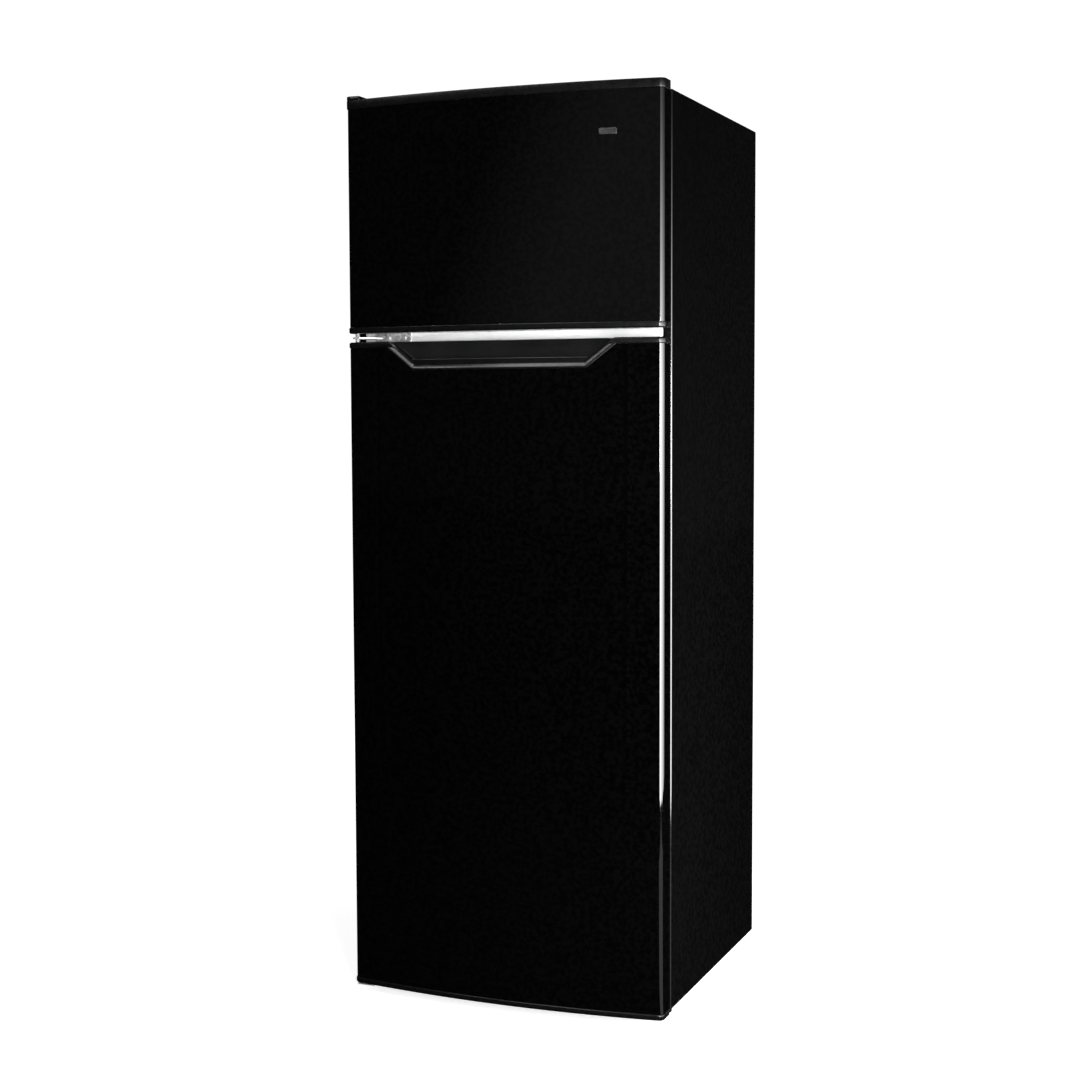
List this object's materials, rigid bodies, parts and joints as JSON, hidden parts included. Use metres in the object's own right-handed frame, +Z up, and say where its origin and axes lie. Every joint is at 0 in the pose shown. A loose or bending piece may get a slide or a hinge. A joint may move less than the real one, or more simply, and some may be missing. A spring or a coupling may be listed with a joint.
{
  "type": "top freezer refrigerator",
  "caption": "Compact two-door refrigerator with a freezer compartment on top, crowned doors hinged on the left, a recessed grip and a rear compressor bay.",
  "frame": {"origin": "middle of the footprint's box, on the floor under the feet", "axes": "+Z up, doors face -Y, +X to the right of someone who stands in front"},
  "size_m": [0.534, 0.56, 1.458],
  "materials": {
    "black_steel": "satin gloss black enamel",
    "dark_steel": "semi-matt black enamel",
    "dark_plastic": "satin moulded plastic",
    "white_plastic": "semi-gloss moulded plastic",
    "zinc_steel": "zinc plated",
    "copper": null,
    "foam": null,
    "gasket_rubber": "soft matt rubber",
    "glass": "clear tempered glass",
    "clear_plastic": "clear moulded plastic",
    "aluminium": "mill finish"
  },
  "bodies": {
    "cabinet": {"cabinet_shell": "black_steel", "back_panel": "dark_steel", "floor_sheet": "dark_steel", "cabinet_foam": "foam", "freezer_liner": "white_plastic", "fridge_liner": "white_plastic", "center_mullion": "white_plastic", "top_hinge": "zinc_steel", "top_hinge_cover": "dark_plastic", "top_hinge_screw": "zinc_steel", "middle_hinge": "zinc_steel", "middle_hinge_screw_1": "zinc_steel", "middle_hinge_screw_2": "zinc_steel", "bottom_hinge": "zinc_steel", "rear_foot_left": "gasket_rubber", "rear_foot_right": "gasket_rubber", "compressor_tray": "dark_steel", "compressor": "dark_steel", "compressor_relay_cover": "dark_plastic", "drip_pan": "dark_plastic", "condenser_coil": "dark_steel", "condenser_grid": "dark_steel", "filter_drier": "copper", "cord_gland": "gasket_rubber", "rear_spacer_left": "dark_plastic", "rear_spacer_right": "dark_plastic", "evaporator_cover": "white_plastic", "evaporator_coil": "aluminium", "freezer_shelf": "white_plastic", "control_housing": "white_plastic", "lamp": "glass", "lamp_cover": "clear_plastic", "crisper_cover": "glass", "glass_shelf_lower": "glass", "glass_shelf_upper": "glass"},
    "freezer_door": {"freezer_door_skin": "black_steel", "freezer_door_top_cap": "dark_plastic", "freezer_door_bottom_cap": "dark_plastic", "freezer_door_foam": "foam", "freezer_door_liner": "white_plastic", "freezer_door_gasket": "gasket_rubber", "freezer_door_bin_lower": "clear_plastic", "freezer_door_bin_upper": "clear_plastic", "nameplate": "zinc_steel"},
    "fridge_door": {"fridge_door_skin": "black_steel", "fridge_door_top_cap": "dark_plastic", "fridge_door_grip_cup": "dark_plastic", "fridge_door_bottom_cap": "dark_plastic", "fridge_door_foam": "foam", "fridge_door_liner": "white_plastic", "fridge_door_gasket": "gasket_rubber", "fridge_door_bin_lower": "clear_plastic", "fridge_door_bin_middle": "clear_plastic", "fridge_door_bin_upper": "clear_plastic"},
    "crisper_drawer": {"crisper_drawer": "clear_plastic"},
    "thermostat_knob": {"thermostat_knob": "white_plastic"},
    "evaporator_fan": {"evaporator_fan": "dark_plastic"},
    "light_switch_plunger": {"light_switch_plunger": "white_plastic"},
    "front_foot_left": {"front_foot_left": "dark_plastic"},
    "front_foot_right": {"front_foot_right": "dark_plastic"}
  },
  "joints": [
    {"name": "freezer_door_hinge", "type": "hinge", "parent": "cabinet", "child": "freezer_door", "pos_m": [-0.255, -0.247, 1.2667], "axis": [0, 0, -1], "range_deg": [0, 115]},
    {"name": "fridge_door_hinge", "type": "hinge", "parent": "cabinet", "child": "fridge_door", "pos_m": [-0.255, -0.247, 0.5443], "axis": [0, 0, -1], "range_deg": [0, 115]},
    {"name": "crisper_drawer_slide", "type": "slide", "parent": "cabinet", "child": "crisper_drawer", "axis": [0, -1, 0], "range_m": [0, 0.04]},
    {"name": "thermostat_knob_turn", "type": "hinge", "parent": "cabinet", "child": "thermostat_knob", "pos_m": [-0.06, -0.0853, 1.018], "axis": [0, 1, 0], "range_deg": [0, 270]},
    {"name": "evaporator_fan_spin", "type": "hinge", "parent": "cabinet", "child": "evaporator_fan", "pos_m": [0, 0.156, 1.335], "axis": [0, 1, 0], "continuous": true},
    {"name": "light_switch_slide", "type": "slide", "parent": "cabinet", "child": "light_switch_plunger", "axis": [0, -1, 0], "range_m": [0, 0.006]},
    {"name": "front_foot_left_turn", "type": "hinge", "parent": "cabinet", "child": "front_foot_left", "pos_m": [-0.205, -0.1765, 0], "axis": [0, 0, 1], "continuous": true},
    {"name": "front_foot_right_turn", "type": "hinge", "parent": "cabinet", "child": "front_foot_right", "pos_m": [0.205, -0.1765, 0], "axis": [0, 0, 1], "continuous": true}
  ],
  "couplings": [
    {"joint": "light_switch_slide", "follows": "fridge_door_hinge", "m_per_rad": 0.0029}
  ]
}
